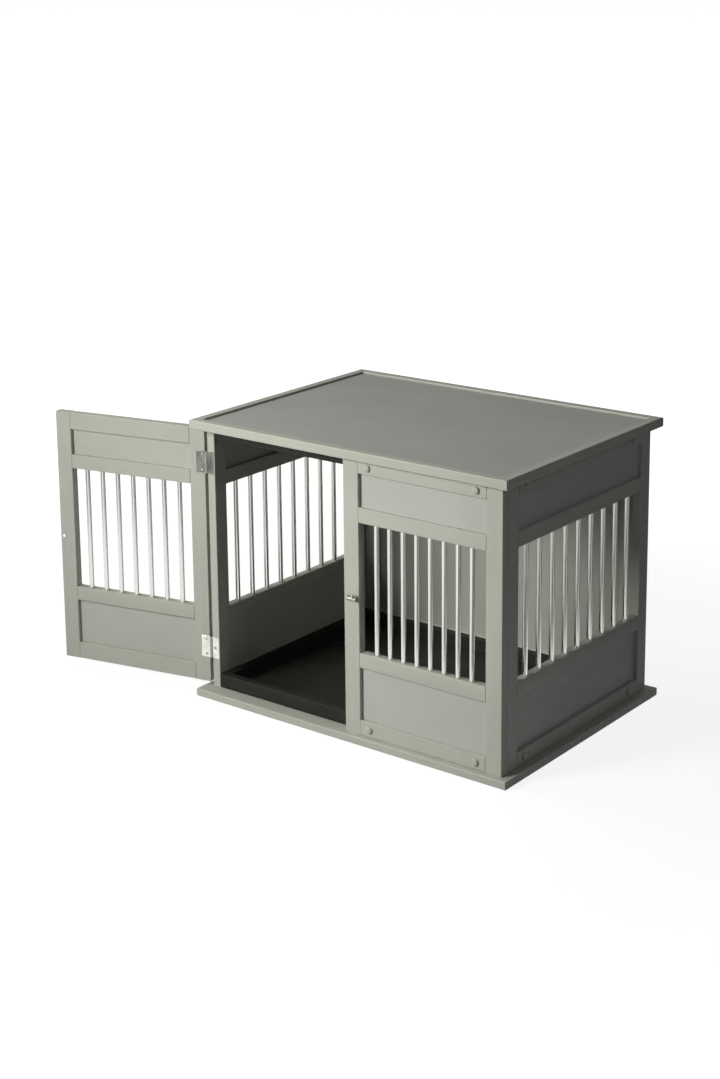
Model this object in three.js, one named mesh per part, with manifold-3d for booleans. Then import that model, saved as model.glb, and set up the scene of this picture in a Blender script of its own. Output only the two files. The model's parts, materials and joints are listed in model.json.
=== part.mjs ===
// A dog crate that doubles as an end table: framed and barred panels between a
// table top and a base board, with a side-hinged door and a small slide bolt.
// Millimetres, +Z up. +X runs along the front to the right, -Y is the front.
// The origin is on the floor, under the middle of the base board.

import * as THREE from "three";
import { mergeVertices } from "three/addons/utils/BufferGeometryUtils.js";
import Module from "manifold-3d";

const wasm = await Module();
wasm.setup();

// ---------------------------------------------------------------- dimensions

// The whole table
const TOP_WIDTH = 760;
const TOP_DEPTH = 565;
const HEIGHT = 588;
const FIT = 0.3; // clearance where two pieces meet
const OVERCUT = 1; // how far a cut runs out past the face it opens

// Table top and base board
const TOP_THICKNESS = 19;
const RIM_WIDTH = 20;
const TOP_RECESS = 4; // how far the top panel lies below the rim
const TOP_TONGUE = 6;
const TOP_TONGUE_THICKNESS = 6;
const BASE_THICKNESS = 16;
const FRONT_OVERHANG = 14;
const SIDE_OVERHANG = 17;
const REAR_OVERHANG = 20;
const TABLE_EDGE_ROUND = 2.5;
const RIM_INNER_CHAMFER = 1;

// Framed panels
const BOARD = 19; // thickness of every stile and rail
const FRONT_STILE = 36;
const SIDE_STILE = 34;
const BOTTOM_RAIL = 30;
const TOP_RAIL = 27;
const BAR_RAIL = 30; // the two rails that hold the bars
const LOWER_PANEL = 107.5; // visible height of the recessed panels
const UPPER_PANEL = 67;
const PANEL_THICKNESS = 4;
const PANEL_TONGUE = 4; // how far a panel reaches into its grooves
const TENON_LENGTH = 10;
const TENON_THICKNESS = 6;
const TENON_SHOULDER = 6;
const BOARD_EDGE_ROUND = 1.5;

// Steel bars
const BAR_DIAMETER = 10;
const BAR_SEAT = 7; // how deep a bar stands in its rail
const BAR_SIDES = 12; // facets round a bar
const FRONT_BARS = 8;
const FRONT_BAR_PITCH = 31.3;
const DOOR_BARS = 7;
const DOOR_BAR_PITCH = 37.3;
const SIDE_BARS = 9;
const SIDE_BAR_PITCH = 46;

// Door
const DOOR_RAIL = 36;
const DOOR_TOP_GAP = 4;
const DOOR_BOTTOM_GAP = 7;
const DOOR_SIDE_GAP = 4; // between the door and the centre stile
const DOOR_OPEN_DEGREES = 168;

// Cleats that tie the panels to the table top and the base board
const CLEAT_THICKNESS = 18;
const TOP_CLEAT_HEIGHT = 22;
const BASE_CLEAT_HEIGHT = 29;
const FLOOR_THICKNESS = 3;

// Butt hinges
const HINGE_HEIGHT = 46;
const HINGE_LEAF = 1.6; // leaf thickness
const HINGE_DOOR_LEAF_WIDTH = 20;
const HINGE_POST_LEAF_WIDTH = 17;
const HINGE_KNUCKLE_RADIUS = 3;
const HINGE_KNUCKLE_SIDES = 16;
const HINGE_KNUCKLE_FOOT = 1; // how far a knuckle's foot runs onto its leaf
const HINGE_PIN_RADIUS = 1.5;
const HINGE_PIN_SIDES = 12;
const HINGE_FROM_DOOR_TOP = 71; // to the middle of the upper hinge
const HINGE_FROM_DOOR_BOTTOM = 76; // to the middle of the lower hinge

// Slide bolt on the centre stile
const LATCH_OFFSET = 3.5; // right of the stile's middle line
const LATCH_PLATE_LENGTH = 25;
const LATCH_PLATE_HEIGHT = 15.5;
const LATCH_PLATE_THICKNESS = 1.2;
const LATCH_PLATE_CORNER = 1.2;
const LATCH_BARREL_INSET = 1; // from the plate's ends
const LATCH_ROD_RADIUS = 2.6;
const LATCH_ROD_NOSE = 1.2; // bevel on the end that enters the keeper
const LATCH_ROD_INSET = 0.5; // from the plate's ends
const LATCH_ROD_SIDES = 12;
const LATCH_ROD_CLEARANCE = 0.6;
const LATCH_BARREL_WALL = 1.3;
const LATCH_TRAVEL = 18;
const LATCH_STEM_FROM_END = 7; // from the plate's closed end
const LATCH_STEM_TILT = 50; // degrees that the knob is turned up from level
const LATCH_STEM_RADIUS = 1.4;
const LATCH_STEM_LENGTH = 8;
const LATCH_KNOB_RADIUS = 3;
const KEEPER_LENGTH = 9;
const KEEPER_BARREL_INSET = 0.8;
const BARREL_SIDES = 16;

// ------------------------------------------------------------ derived places

const underTop = HEIGHT - TOP_THICKNESS;
const bodyHalfWidth = TOP_WIDTH / 2 - SIDE_OVERHANG;
const bodyFront = -TOP_DEPTH / 2 + FRONT_OVERHANG;
const bodyRear = TOP_DEPTH / 2 - REAR_OVERHANG;
const sideFront = bodyFront + BOARD + FIT; // front edge of the side panels
const insideHalfWidth = bodyHalfWidth - BOARD;
const insideRear = bodyRear - BOARD;
const wallBottom = BASE_THICKNESS + FIT;
const wallTop = underTop - FIT;

const lowerBarRail = wallBottom + BOTTOM_RAIL + LOWER_PANEL;
const upperBarRail = wallTop - TOP_RAIL - UPPER_PANEL - BAR_RAIL;

const doorBottom = BASE_THICKNESS + DOOR_BOTTOM_GAP;
const doorTop = underTop - DOOR_TOP_GAP;
const doorWidth = bodyHalfWidth - DOOR_SIDE_GAP;

const pinX = -bodyHalfWidth - HINGE_KNUCKLE_RADIUS - FIT;
const pinY = bodyFront + BOARD + FIT / 2;
const hingeCentres = {
  upper: doorTop - HINGE_FROM_DOOR_TOP,
  lower: doorBottom + HINGE_FROM_DOOR_BOTTOM,
};

const latchHeight = (wallBottom + wallTop) / 2;

// ------------------------------------------------------------------ materials

const paintedWood = new THREE.MeshStandardMaterial({ color: 0xb4b5a8, roughness: 0.5, metalness: 0 });
const darkWood = new THREE.MeshStandardMaterial({ color: 0x3b3b37, roughness: 0.6, metalness: 0 });
const polishedSteel = new THREE.MeshStandardMaterial({ color: 0xd8d8d6, roughness: 0.18, metalness: 1 });
const nickel = new THREE.MeshStandardMaterial({ color: 0xc9c7bd, roughness: 0.3, metalness: 1 });

// ------------------------------------------------------------- solid helpers

/** A closed three.js geometry as a manifold solid, for joining and cutting. */
function solidOf(geometry) {
  const bare = geometry.index ? geometry.toNonIndexed() : geometry.clone();
  bare.deleteAttribute("normal");
  bare.deleteAttribute("uv");
  const merged = mergeVertices(bare, 1e-4);
  return new wasm.Manifold(
    new wasm.Mesh({
      numProp: 3,
      vertProperties: merged.attributes.position.array,
      triVerts: new Uint32Array(merged.index.array),
    }),
  );
}

/** A manifold solid back as a three.js geometry with flat faces. */
function geometryOf(solid) {
  const mesh = solid.getMesh();
  const geometry = new THREE.BufferGeometry();
  geometry.setAttribute("position", new THREE.BufferAttribute(mesh.vertProperties, 3));
  geometry.setIndex(new THREE.BufferAttribute(mesh.triVerts, 1));
  const flat = geometry.toNonIndexed();
  flat.computeVertexNormals();
  return flat;
}

/** The box between two places on each axis. */
function span([x0, x1], [y0, y1], [z0, z1]) {
  return new THREE.Box3(new THREE.Vector3(x0, y0, z0), new THREE.Vector3(x1, y1, z1));
}

/** A plain block that fills a span. */
function block(box) {
  const size = box.getSize(new THREE.Vector3());
  const centre = box.getCenter(new THREE.Vector3());
  return new THREE.BoxGeometry(size.x, size.y, size.z).translate(centre.x, centre.y, centre.z);
}

// For a profile run along one axis: which axes its own across, up and length become.
const RUNS = {
  x: { across: "y", up: "z", basis: [[0, 1, 0], [0, 0, 1], [1, 0, 0]] },
  y: { across: "z", up: "x", basis: [[0, 0, 1], [1, 0, 0], [0, 1, 0]] },
  z: { across: "x", up: "y", basis: [[1, 0, 0], [0, 1, 0], [0, 0, 1]] },
};

/** A closed outline extruded from start to end along the x, y or z axis. */
function extrudeAlong(axis, shape, start, end, curveSegments = 2) {
  const basis = RUNS[axis].basis.map((v) => new THREE.Vector3(...v));
  return new THREE.ExtrudeGeometry(shape, { depth: end - start, bevelEnabled: false, curveSegments })
    .translate(0, 0, start)
    .applyMatrix4(new THREE.Matrix4().makeBasis(...basis));
}

/** A rectangle with its four corners rounded. */
function roundedRectangle(a0, a1, b0, b1, radius) {
  const shape = new THREE.Shape();
  shape.absarc(a1 - radius, b1 - radius, radius, 0, Math.PI / 2);
  shape.absarc(a0 + radius, b1 - radius, radius, Math.PI / 2, Math.PI);
  shape.absarc(a0 + radius, b0 + radius, radius, Math.PI, 1.5 * Math.PI);
  shape.absarc(a1 - radius, b0 + radius, radius, 1.5 * Math.PI, 2 * Math.PI);
  shape.closePath();
  return shape;
}

/** A board that fills a span, with its long edges eased, lying along one axis. */
function board(box, axis, radius = BOARD_EDGE_ROUND) {
  const { across, up } = RUNS[axis];
  const shape = roundedRectangle(box.min[across], box.max[across], box.min[up], box.max[up], radius);
  return extrudeAlong(axis, shape, box.min[axis], box.max[axis]);
}

/** A round bar standing on (x, y) between two heights. */
function standingBar(x, y, z0, z1, radius, sides = BAR_SIDES) {
  return new THREE.CylinderGeometry(radius, radius, z1 - z0, sides)
    .rotateX(Math.PI / 2)
    .translate(x, y, (z0 + z1) / 2);
}

/** Joins and cuts solids: a body, what is added to it and what is taken from it. */
function carve(body, { add = [], cut = [] }) {
  let solid = solidOf(body);
  for (const extra of add) solid = solid.add(solidOf(extra));
  for (const tool of cut) solid = solid.subtract(solidOf(tool));
  return geometryOf(solid);
}

function addPiece(group, name, geometry, material) {
  const mesh = new THREE.Mesh(geometry, material);
  mesh.name = name;
  group.add(mesh);
  return mesh;
}

// -------------------------------------------------------------- framed panels

/** Evenly pitched places, centred in a width. */
function centredRow(count, pitch, width) {
  return Array.from({ length: count }, (_, i) => width / 2 + (i - (count - 1) / 2) * pitch);
}

/**
 * A frame of two stiles with rails between them. Local x runs from its left
 * edge as seen from outside, y from the outer face (0) inwards, z is height.
 * Rails are tenoned into the stiles. Between two rails lies either a thin panel
 * in grooves, or a row of round bars, which stand fast in the rail below and
 * end in blind holes of the rail above.
 */
function framedPanel({ label, width, bottom, top, stile, stileNames, rails, fields, stileCuts = {} }) {
  const group = new THREE.Group();
  const left = stile;
  const right = width - stile;
  const middle = BOARD / 2;
  const railCuts = rails.map(() => []);
  const railAdds = rails.map(() => []);
  const cuts = { left: [...(stileCuts.left ?? [])], right: [...(stileCuts.right ?? [])] };

  fields.forEach((field, i) => {
    const low = rails[i].z1;
    const high = rails[i + 1].z0;
    if (field.bars) {
      for (const x of centredRow(field.bars, field.pitch, width)) {
        const radius = BAR_DIAMETER / 2;
        railAdds[i].push(standingBar(x, middle, low - BAR_SEAT, high + BAR_SEAT, radius));
        railCuts[i + 1].push(
          standingBar(x, middle, high - OVERCUT, high + BAR_SEAT + FIT, radius + FIT),
        );
      }
      return;
    }
    const half = PANEL_THICKNESS / 2;
    const reach = PANEL_TONGUE;
    const panel = span(
      [left - reach, right + reach],
      [middle - half, middle + half],
      [low - reach, high + reach],
    );
    addPiece(group, `${label}_${field.panel}`, block(panel), paintedWood);
    const groove = block(panel.clone().expandByScalar(FIT));
    cuts.left.push(groove);
    cuts.right.push(groove);
    railCuts[i].push(groove);
    railCuts[i + 1].push(groove);
  });

  rails.forEach((rail, i) => {
    const tenon = span(
      [left - TENON_LENGTH, right + TENON_LENGTH],
      [middle - TENON_THICKNESS / 2, middle + TENON_THICKNESS / 2],
      [rail.z0 + TENON_SHOULDER, rail.z1 - TENON_SHOULDER],
    );
    const mortise = block(tenon.clone().expandByScalar(FIT));
    cuts.left.push(mortise);
    cuts.right.push(mortise);
    const body = board(span([left + FIT, right - FIT], [0, BOARD], [rail.z0, rail.z1]), "x");
    addPiece(
      group,
      `${label}_${rail.name}`,
      carve(body, { add: [block(tenon), ...railAdds[i]], cut: railCuts[i] }),
      paintedWood,
    );
  });

  const leftStile = board(span([0, left], [0, BOARD], [bottom, top]), "z");
  const rightStile = board(span([right, width], [0, BOARD], [bottom, top]), "z");
  addPiece(group, `${label}_${stileNames[0]}`, carve(leftStile, { cut: cuts.left }), paintedWood);
  addPiece(group, `${label}_${stileNames[1]}`, carve(rightStile, { cut: cuts.right }), paintedWood);
  return group;
}

/** The four rails of a barred panel whose end rails have the given heights. */
function barredRails(bottom, top, bottomRail, topRail) {
  return [
    { name: "bottom_rail", z0: bottom, z1: bottom + bottomRail },
    { name: "lower_bar_rail_with_bars", z0: lowerBarRail, z1: lowerBarRail + BAR_RAIL },
    { name: "upper_bar_rail", z0: upperBarRail, z1: upperBarRail + BAR_RAIL },
    { name: "top_rail", z0: top - topRail, z1: top },
  ];
}

/** What fills a barred panel between its rails. */
function barredFields(bars, pitch) {
  return [{ panel: "lower_panel" }, { bars, pitch }, { panel: "upper_panel" }];
}

// --------------------------------------------------------------------- hinges

const knuckleOffset = HINGE_KNUCKLE_RADIUS + FIT; // from the pin to the wood's edge
const leafBack = FIT / 2; // from the pin's plane to a leaf's face

/** The leaf pockets in a stile whose edge is at local x, cut down from local y. */
function hingePocket(xRange, yRange, centre) {
  const half = HINGE_HEIGHT / 2 + FIT;
  return block(span(xRange, yRange, [centre - half, centre + half]));
}

/** A knuckle between two heights: a ring round the pin, with a straight foot onto its leaf. */
function knuckle(z0, z1, side) {
  const ring = standingBar(0, 0, z0, z1, HINGE_KNUCKLE_RADIUS, HINGE_KNUCKLE_SIDES);
  const foot = span(
    [0, knuckleOffset + HINGE_KNUCKLE_FOOT],
    side > 0 ? [leafBack, leafBack + HINGE_LEAF] : [-leafBack - HINGE_LEAF, -leafBack],
    [z0, z1],
  );
  return [ring, block(foot)];
}

/**
 * The two leaves of a butt hinge about the z axis, closed. The door's leaf lies
 * on the -y side and carries the middle knuckle and the pin; the post's leaf
 * lies on the +y side and carries the outer knuckles.
 */
function hingeLeaves(centre) {
  const z0 = centre - HINGE_HEIGHT / 2;
  const z1 = centre + HINGE_HEIGHT / 2;
  const third = HINGE_HEIGHT / 3;
  const doorPlate = span(
    [knuckleOffset, knuckleOffset + HINGE_DOOR_LEAF_WIDTH],
    [-leafBack - HINGE_LEAF, -leafBack],
    [z0, z1],
  );
  const postPlate = span(
    [knuckleOffset, knuckleOffset + HINGE_POST_LEAF_WIDTH],
    [leafBack, leafBack + HINGE_LEAF],
    [z0, z1],
  );
  const pin = standingBar(0, 0, z0 + FIT, z1 - FIT, HINGE_PIN_RADIUS, HINGE_PIN_SIDES);
  const bore = standingBar(0, 0, z0 - OVERCUT, z1 + OVERCUT, HINGE_PIN_RADIUS + FIT, HINGE_PIN_SIDES);
  return {
    door: carve(block(doorPlate), { add: [...knuckle(z0 + third + FIT, z1 - third - FIT, -1), pin] }),
    post: carve(block(postPlate), {
      add: [...knuckle(z0, z0 + third, 1), ...knuckle(z1 - third, z1, 1)],
      cut: [bore],
    }),
  };
}

// ----------------------------------------------------------------------- door

/** The door with its hinge leaves and keeper, swung open about the hinge pins. */
function makeDoor() {
  const swing = new THREE.Group();
  swing.position.set(pinX, pinY, 0);
  swing.rotation.z = -THREE.MathUtils.degToRad(DOOR_OPEN_DEGREES);

  const pocketFloor = BOARD - HINGE_LEAF - FIT;
  const panel = framedPanel({
    label: "door",
    width: doorWidth,
    bottom: doorBottom,
    top: doorTop,
    stile: FRONT_STILE,
    stileNames: ["hinge_stile", "free_stile"],
    rails: barredRails(doorBottom, doorTop, DOOR_RAIL, DOOR_RAIL),
    fields: barredFields(DOOR_BARS, DOOR_BAR_PITCH),
    stileCuts: {
      left: Object.values(hingeCentres).map((centre) =>
        hingePocket([-OVERCUT, HINGE_DOOR_LEAF_WIDTH + FIT], [pocketFloor, BOARD + OVERCUT], centre),
      ),
    },
  });
  panel.position.set(-bodyHalfWidth - pinX, bodyFront - pinY, 0);
  swing.add(panel);

  for (const [place, centre] of Object.entries(hingeCentres)) {
    addPiece(swing, `${place}_hinge_door_leaf`, hingeLeaves(centre).door, nickel);
  }

  const keeper = addPiece(panel, "latch_keeper", makeKeeper(), nickel);
  keeper.position.set(doorWidth - KEEPER_LENGTH - 2 * FIT, 0, latchHeight);
  return swing;
}

// ---------------------------------------------------------------------- latch

const barrelBore = LATCH_ROD_RADIUS + LATCH_ROD_CLEARANCE;
const barrelRadius = barrelBore + LATCH_BARREL_WALL;
const rodY = -(FIT + LATCH_PLATE_THICKNESS + barrelBore); // rod's axis in front of the wood

/** The outline of a strap bent over the rod, in the plane across it: y outwards, z up. */
function archOutline() {
  const foot = -FIT - LATCH_PLATE_THICKNESS / 2;
  const shape = new THREE.Shape();
  shape.moveTo(foot, -barrelRadius);
  shape.lineTo(rodY, -barrelRadius);
  shape.absarc(rodY, 0, barrelRadius, 1.5 * Math.PI, Math.PI / 2, true);
  shape.lineTo(foot, barrelRadius);
  shape.closePath();
  return shape;
}

/** A back plate with an arched barrel over the rod's way, from x = 0 to its length. */
function platedBarrel(length, inset) {
  const halfHeight = LATCH_PLATE_HEIGHT / 2;
  const plate = span([0, length], [-FIT - LATCH_PLATE_THICKNESS, -FIT], [-halfHeight, halfHeight]);
  const barrel = extrudeAlong("x", archOutline(), inset, length - inset, BARREL_SIDES / 2);
  const bore = new THREE.CylinderGeometry(barrelBore, barrelBore, length + 2 * OVERCUT, BARREL_SIDES)
    .rotateZ(Math.PI / 2)
    .translate(length / 2, rodY, 0);
  return carve(board(plate, "y", LATCH_PLATE_CORNER), { add: [barrel], cut: [bore] });
}

function makeKeeper() {
  return platedBarrel(KEEPER_LENGTH, KEEPER_BARREL_INSET);
}

const stemX = LATCH_PLATE_LENGTH - LATCH_STEM_FROM_END;

/** A shape that points outwards from the rod's axis, turned up about it. */
function turnedUp(geometry) {
  return geometry
    .translate(0, -rodY, 0)
    .rotateX(-THREE.MathUtils.degToRad(LATCH_STEM_TILT))
    .translate(0, rodY, 0);
}

/** The latch's plate and barrel, with the slot in which the knob's stem travels, open at the nose's end. */
function makeLatchPlate() {
  const slotHalf = LATCH_STEM_RADIUS + 2 * FIT;
  const slot = span(
    [stemX - LATCH_TRAVEL - slotHalf, stemX + slotHalf],
    [rodY - barrelRadius - OVERCUT, rodY],
    [-slotHalf, slotHalf],
  );
  return carve(platedBarrel(LATCH_PLATE_LENGTH, LATCH_BARREL_INSET), { cut: [turnedUp(block(slot))] });
}

/** The sliding rod with its rounded nose, and the knob on a stem. */
function makeBoltRod() {
  const length = LATCH_PLATE_LENGTH - 2 * LATCH_ROD_INSET;
  const profile = [
    new THREE.Vector2(0, 0),
    new THREE.Vector2(LATCH_ROD_RADIUS - LATCH_ROD_NOSE, 0),
    new THREE.Vector2(LATCH_ROD_RADIUS, LATCH_ROD_NOSE),
    new THREE.Vector2(LATCH_ROD_RADIUS, length),
    new THREE.Vector2(0, length),
  ];
  const rod = new THREE.LatheGeometry(profile, LATCH_ROD_SIDES)
    .rotateZ(-Math.PI / 2)
    .translate(LATCH_ROD_INSET, rodY, 0);
  const stemEnd = rodY - LATCH_STEM_LENGTH;
  const stemRod = new THREE.CylinderGeometry(LATCH_STEM_RADIUS, LATCH_STEM_RADIUS, LATCH_STEM_LENGTH, 10)
    .translate(stemX, (rodY + stemEnd) / 2, 0);
  const knob = new THREE.SphereGeometry(LATCH_KNOB_RADIUS, 12, 8).translate(stemX, stemEnd, 0);
  return carve(rod, { add: [turnedUp(stemRod), turnedUp(knob)] });
}

// ------------------------------------------------------------------ table top

/** One rim board with mitred ends, lying along x with its outer edge on y = 0. */
function rimBoard(length) {
  const middle = (TOP_THICKNESS - TOP_RECESS) / 2;
  const half = TOP_TONGUE_THICKNESS / 2 + FIT;
  const depth = RIM_WIDTH - TOP_TONGUE - FIT;
  const r = TABLE_EDGE_ROUND;
  const shape = new THREE.Shape();
  shape.absarc(r, r, r, Math.PI, 1.5 * Math.PI);
  shape.lineTo(RIM_WIDTH, 0);
  shape.lineTo(RIM_WIDTH, middle - half);
  shape.lineTo(depth, middle - half);
  shape.lineTo(depth, middle + half);
  shape.lineTo(RIM_WIDTH, middle + half);
  shape.lineTo(RIM_WIDTH, TOP_THICKNESS - RIM_INNER_CHAMFER);
  shape.lineTo(RIM_WIDTH - RIM_INNER_CHAMFER, TOP_THICKNESS);
  shape.absarc(r, TOP_THICKNESS - r, r, Math.PI / 2, Math.PI);
  shape.closePath();
  const geometry = extrudeAlong("x", shape, -0.5, 0.5, 3);
  const position = geometry.attributes.position;
  for (let i = 0; i < position.count; i++) {
    const inwards = position.getY(i);
    const halfLength = length / 2 - inwards - FIT / 2;
    position.setX(i, Math.sign(position.getX(i)) * halfLength);
  }
  return geometry;
}

function makeTableTop() {
  const group = new THREE.Group();
  group.position.z = underTop;
  const sides = [
    ["front", TOP_WIDTH, 0, -TOP_DEPTH / 2, 0],
    ["right", TOP_DEPTH, TOP_WIDTH / 2, 0, Math.PI / 2],
    ["back", TOP_WIDTH, 0, TOP_DEPTH / 2, Math.PI],
    ["left", TOP_DEPTH, -TOP_WIDTH / 2, 0, -Math.PI / 2],
  ];
  for (const [side, length, x, y, turn] of sides) {
    const rim = addPiece(group, `top_${side}_rim`, rimBoard(length), paintedWood);
    rim.position.set(x, y, 0);
    rim.rotation.z = turn;
  }
  const halfX = TOP_WIDTH / 2 - RIM_WIDTH - FIT;
  const halfY = TOP_DEPTH / 2 - RIM_WIDTH - FIT;
  const thickness = TOP_THICKNESS - TOP_RECESS;
  const middle = thickness / 2;
  const reach = TOP_TONGUE;
  const slab = span([-halfX, halfX], [-halfY, halfY], [0, thickness]);
  const tongue = span(
    [-halfX - reach, halfX + reach],
    [-halfY - reach, halfY + reach],
    [middle - TOP_TONGUE_THICKNESS / 2, middle + TOP_TONGUE_THICKNESS / 2],
  );
  addPiece(group, "table_top_panel", carve(block(slab), { add: [block(tongue)] }), paintedWood);
  return group;
}

// ------------------------------------------------------------ base and cleats

function makeBase() {
  const group = new THREE.Group();
  const halfX = TOP_WIDTH / 2;
  const halfY = TOP_DEPTH / 2;
  const slab = span([-halfX, halfX], [-halfY, halfY], [0, BASE_THICKNESS]);
  addPiece(group, "base_board", board(slab, "x", TABLE_EDGE_ROUND), paintedWood);
  const clear = CLEAT_THICKNESS + 2 * FIT;
  const floor = span(
    [-insideHalfWidth + clear, insideHalfWidth - clear],
    [sideFront + clear, insideRear - clear],
    [wallBottom, wallBottom + FLOOR_THICKNESS],
  );
  addPiece(group, "floor_panel", block(floor), darkWood);
  return group;
}

/** Four cleats round the inside, between two heights: long ones front and back. */
function cleatRing(label, z0, z1) {
  const group = new THREE.Group();
  const x = insideHalfWidth - FIT;
  const front = sideFront;
  const rear = insideRear - FIT;
  const t = CLEAT_THICKNESS;
  const strips = {
    front: [span([-x, x], [front, front + t], [z0, z1]), "x"],
    back: [span([-x, x], [rear - t, rear], [z0, z1]), "x"],
    left: [span([-x, -x + t], [front + t + FIT, rear - t - FIT], [z0, z1]), "y"],
    right: [span([x - t, x], [front + t + FIT, rear - t - FIT], [z0, z1]), "y"],
  };
  for (const [side, [box, axis]] of Object.entries(strips)) {
    addPiece(group, `${label}_${side}`, board(box, axis), darkWood);
  }
  return group;
}

// ------------------------------------------------------------------- assembly

const crate = new THREE.Group();
const bodyRails = barredRails(wallBottom, wallTop, BOTTOM_RAIL, TOP_RAIL);

const front = framedPanel({
  label: "front",
  width: bodyHalfWidth,
  bottom: wallBottom,
  top: wallTop,
  stile: FRONT_STILE,
  stileNames: ["centre_stile", "right_stile"],
  rails: bodyRails,
  fields: barredFields(FRONT_BARS, FRONT_BAR_PITCH),
});
front.position.y = bodyFront;
crate.add(front);

const sideLength = bodyRear - sideFront;
const leafPocketDepth = HINGE_LEAF + FIT;
const sides = {
  right: { turn: Math.PI / 2, x: bodyHalfWidth, y: sideFront, stileNames: ["front_stile", "rear_stile"] },
  left: {
    turn: -Math.PI / 2,
    x: -bodyHalfWidth,
    y: bodyRear,
    stileNames: ["rear_stile", "front_stile"],
    stileCuts: {
      right: Object.values(hingeCentres).map((centre) =>
        hingePocket(
          [sideLength - leafPocketDepth, sideLength + OVERCUT],
          [-OVERCUT, HINGE_POST_LEAF_WIDTH + FIT],
          centre,
        ),
      ),
    },
  },
};
for (const [side, { turn, x, y, stileNames, stileCuts }] of Object.entries(sides)) {
  const panel = framedPanel({
    label: `${side}_side`,
    width: sideLength,
    bottom: wallBottom,
    top: wallTop,
    stile: SIDE_STILE,
    stileNames,
    rails: bodyRails,
    fields: barredFields(SIDE_BARS, SIDE_BAR_PITCH),
    stileCuts,
  });
  panel.rotation.z = turn;
  panel.position.set(x, y, 0);
  crate.add(panel);
}

const back = framedPanel({
  label: "back",
  width: 2 * (insideHalfWidth - FIT),
  bottom: wallBottom,
  top: wallTop,
  stile: FRONT_STILE,
  stileNames: ["right_stile", "left_stile"],
  rails: [bodyRails[0], bodyRails[3]],
  fields: [{ panel: "panel" }],
});
back.rotation.z = Math.PI;
back.position.set(insideHalfWidth - FIT, bodyRear, 0);
crate.add(back);

crate.add(makeTableTop());
crate.add(makeBase());
crate.add(cleatRing("top_cleat", wallTop - TOP_CLEAT_HEIGHT, wallTop));
crate.add(cleatRing("base_cleat", wallBottom, wallBottom + BASE_CLEAT_HEIGHT));

for (const [place, centre] of Object.entries(hingeCentres)) {
  const leaf = addPiece(crate, `${place}_hinge_post_leaf`, hingeLeaves(centre).post, nickel);
  leaf.position.set(pinX, pinY, 0);
}
crate.add(makeDoor());

const latchX = (FRONT_STILE - LATCH_PLATE_LENGTH) / 2 + LATCH_OFFSET;
const latchPlate = addPiece(crate, "latch_plate", makeLatchPlate(), nickel);
latchPlate.position.set(latchX, bodyFront, latchHeight);
const latchBolt = addPiece(crate, "latch_bolt", makeBoltRod(), polishedSteel);
latchBolt.position.copy(latchPlate.position);

export default crate;
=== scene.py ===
"""Dresses the crate table.

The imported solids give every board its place. This script paints and stains them, puts
smooth steel bars, bolt heads, butt hinges and a slide bolt where theirs are, and sets the
table on a pale studio floor. Lengths are metres, +X to the right, -Y the front, +Z up.
"""

import json
import math

import bmesh
import bpy
import numpy as np
from mathutils import Matrix, Vector

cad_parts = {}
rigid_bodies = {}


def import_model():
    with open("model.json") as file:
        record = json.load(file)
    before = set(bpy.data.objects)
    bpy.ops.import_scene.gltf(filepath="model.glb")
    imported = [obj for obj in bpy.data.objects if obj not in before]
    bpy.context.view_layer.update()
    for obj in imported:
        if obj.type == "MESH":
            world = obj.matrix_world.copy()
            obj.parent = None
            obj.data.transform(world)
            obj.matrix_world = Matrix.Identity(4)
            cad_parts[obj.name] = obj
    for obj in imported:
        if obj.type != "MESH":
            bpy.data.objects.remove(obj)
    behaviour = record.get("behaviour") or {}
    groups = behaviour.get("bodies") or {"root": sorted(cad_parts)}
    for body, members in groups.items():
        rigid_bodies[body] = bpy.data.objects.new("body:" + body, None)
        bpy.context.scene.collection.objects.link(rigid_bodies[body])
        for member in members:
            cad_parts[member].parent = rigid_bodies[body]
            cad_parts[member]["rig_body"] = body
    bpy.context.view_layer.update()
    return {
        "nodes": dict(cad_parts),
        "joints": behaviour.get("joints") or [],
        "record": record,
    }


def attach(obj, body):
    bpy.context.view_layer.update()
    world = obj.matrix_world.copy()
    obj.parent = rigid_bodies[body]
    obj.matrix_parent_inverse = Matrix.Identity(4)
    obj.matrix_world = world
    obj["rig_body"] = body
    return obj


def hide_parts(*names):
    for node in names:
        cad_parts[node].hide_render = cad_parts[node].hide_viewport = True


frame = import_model()

# ------------------------------------------------------------------ sizes of the pieces

MM = 0.001

FIT = 0.3 * MM  # clearance between two boards
TENON_LENGTH = 10 * MM
BOARD_EDGE_ROUND = 1.5 * MM

BAR_RADIUS = 5 * MM
BAR_SEAT = 7 * MM  # how deep a bar stands in its rail
BAR_RAIL_HEIGHT = 30 * MM
BAR_END_CHAMFER = 0.6 * MM
FRONT_BARS, FRONT_BAR_PITCH = 8, 31.3 * MM
DOOR_BARS, DOOR_BAR_PITCH = 7, 37.3 * MM
SIDE_BARS, SIDE_BAR_PITCH = 9, 46 * MM

BOLT_HEAD_RADIUS = 7.0 * MM
BOLT_HEAD_WALL = 2.9 * MM
BOLT_HEAD_HEIGHT = 4.6 * MM
BOLT_INSET = 58 * MM  # from a panel's end to the bolt's middle
SIDE_BOLT_REAR_INSET = 67 * MM

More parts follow.
